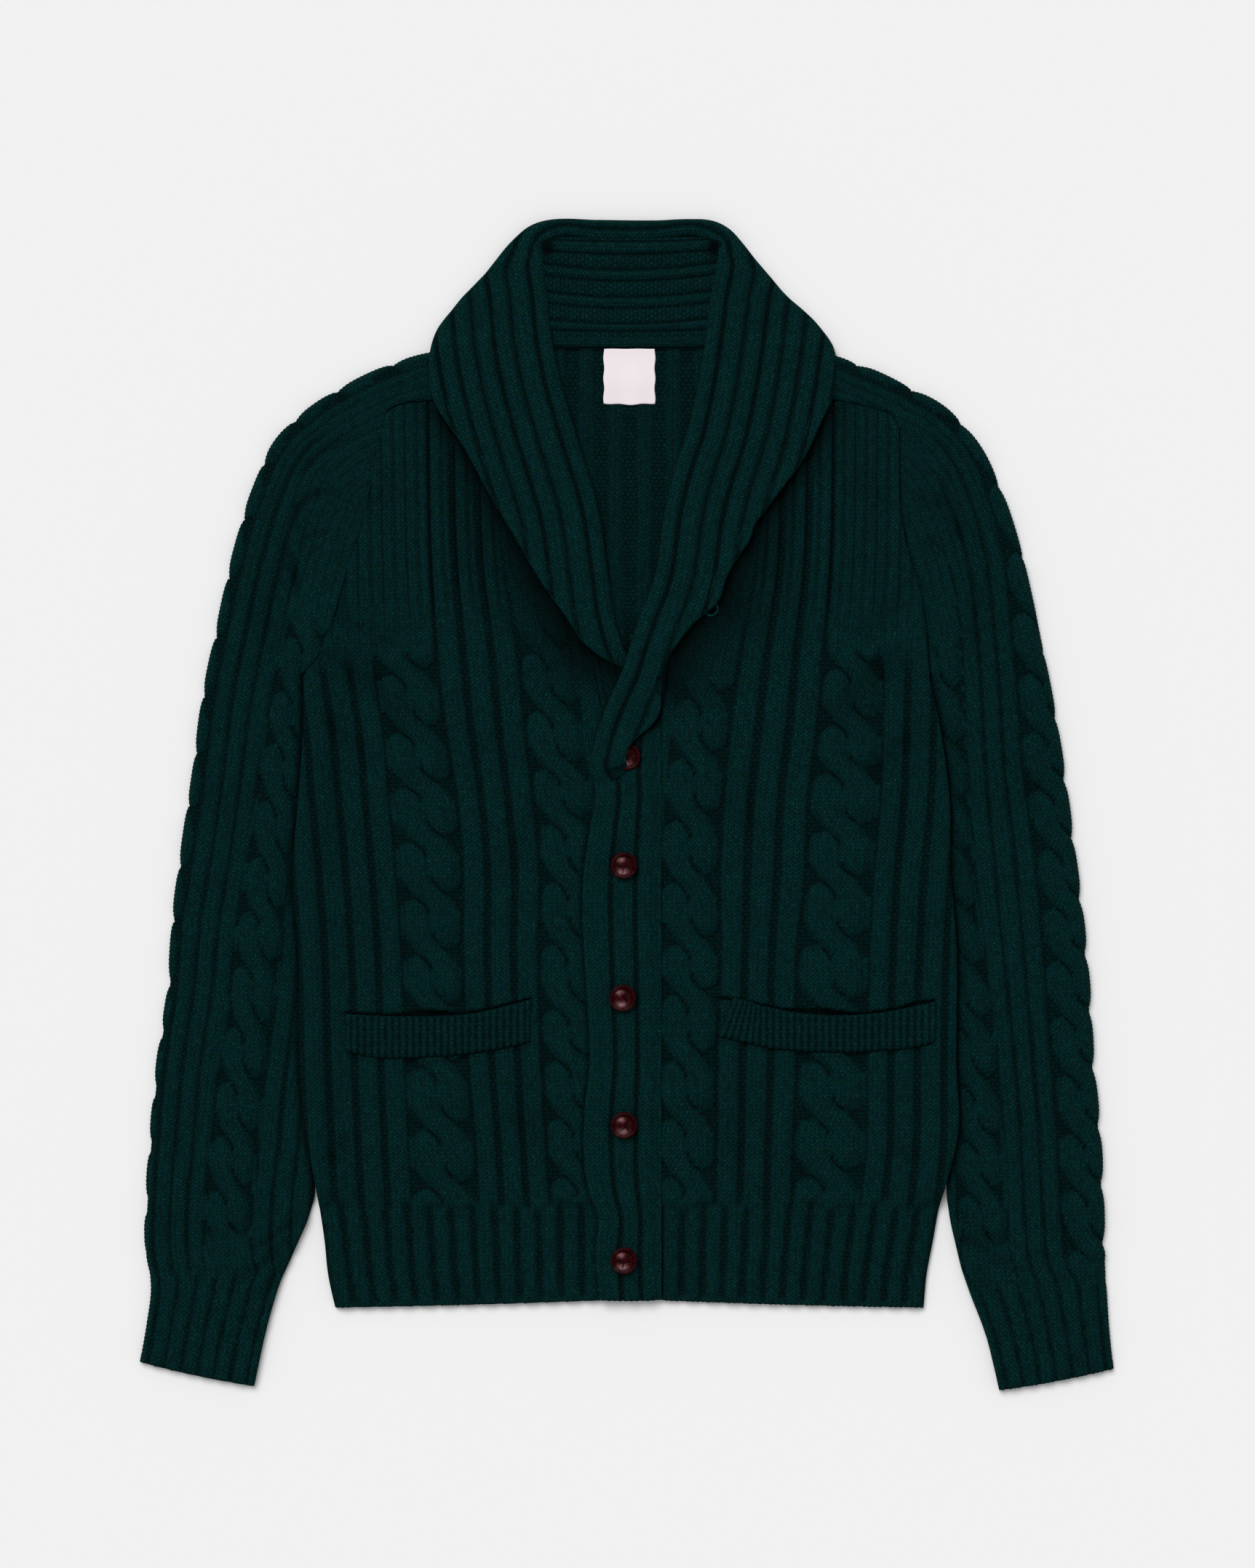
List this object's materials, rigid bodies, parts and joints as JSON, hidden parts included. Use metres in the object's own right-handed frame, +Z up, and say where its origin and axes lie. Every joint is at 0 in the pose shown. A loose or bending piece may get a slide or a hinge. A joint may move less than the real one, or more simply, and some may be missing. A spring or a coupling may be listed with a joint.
{
  "type": "shawl collar cardigan",
  "caption": "Chunky cable-knit cardigan with a ribbed shawl collar, a buttoned front and two pocket welts, laid flat on its back.",
  "frame": {"origin": "centre of the laid-out cardigan's bounding box, at the surface it lies on", "axes": "+X to the wearer's left, +Y from the hem to the collar, +Z up, away from the surface"},
  "size_m": [0.722, 0.8678, 0.0181],
  "materials": {
    "knit": "thick woollen knit, dark bottle green with a blue-green fleck, matt and slightly fuzzy",
    "tape": "narrow matt tape over the back neck seam, dark green",
    "satin": "white woven satin label, bare, with a soft sheen",
    "leather": "dark wine-brown woven leather, domed and polished"
  },
  "bodies": {
    "root": {"back": "knit", "front_left": "knit", "front_right": "knit", "sleeve_left": "knit", "sleeve_right": "knit", "collar_left": "knit", "collar_right": "knit", "collar_back": "knit", "band_over": "knit", "band_under": "knit", "welt_left": "knit", "welt_right": "knit", "yarn_loop": "knit", "neck_tape": "tape", "neck_label": "satin", "button_1": "leather", "button_2": "leather", "button_3": "leather", "button_4": "leather", "button_5": "leather"}
  },
  "joints": []
}
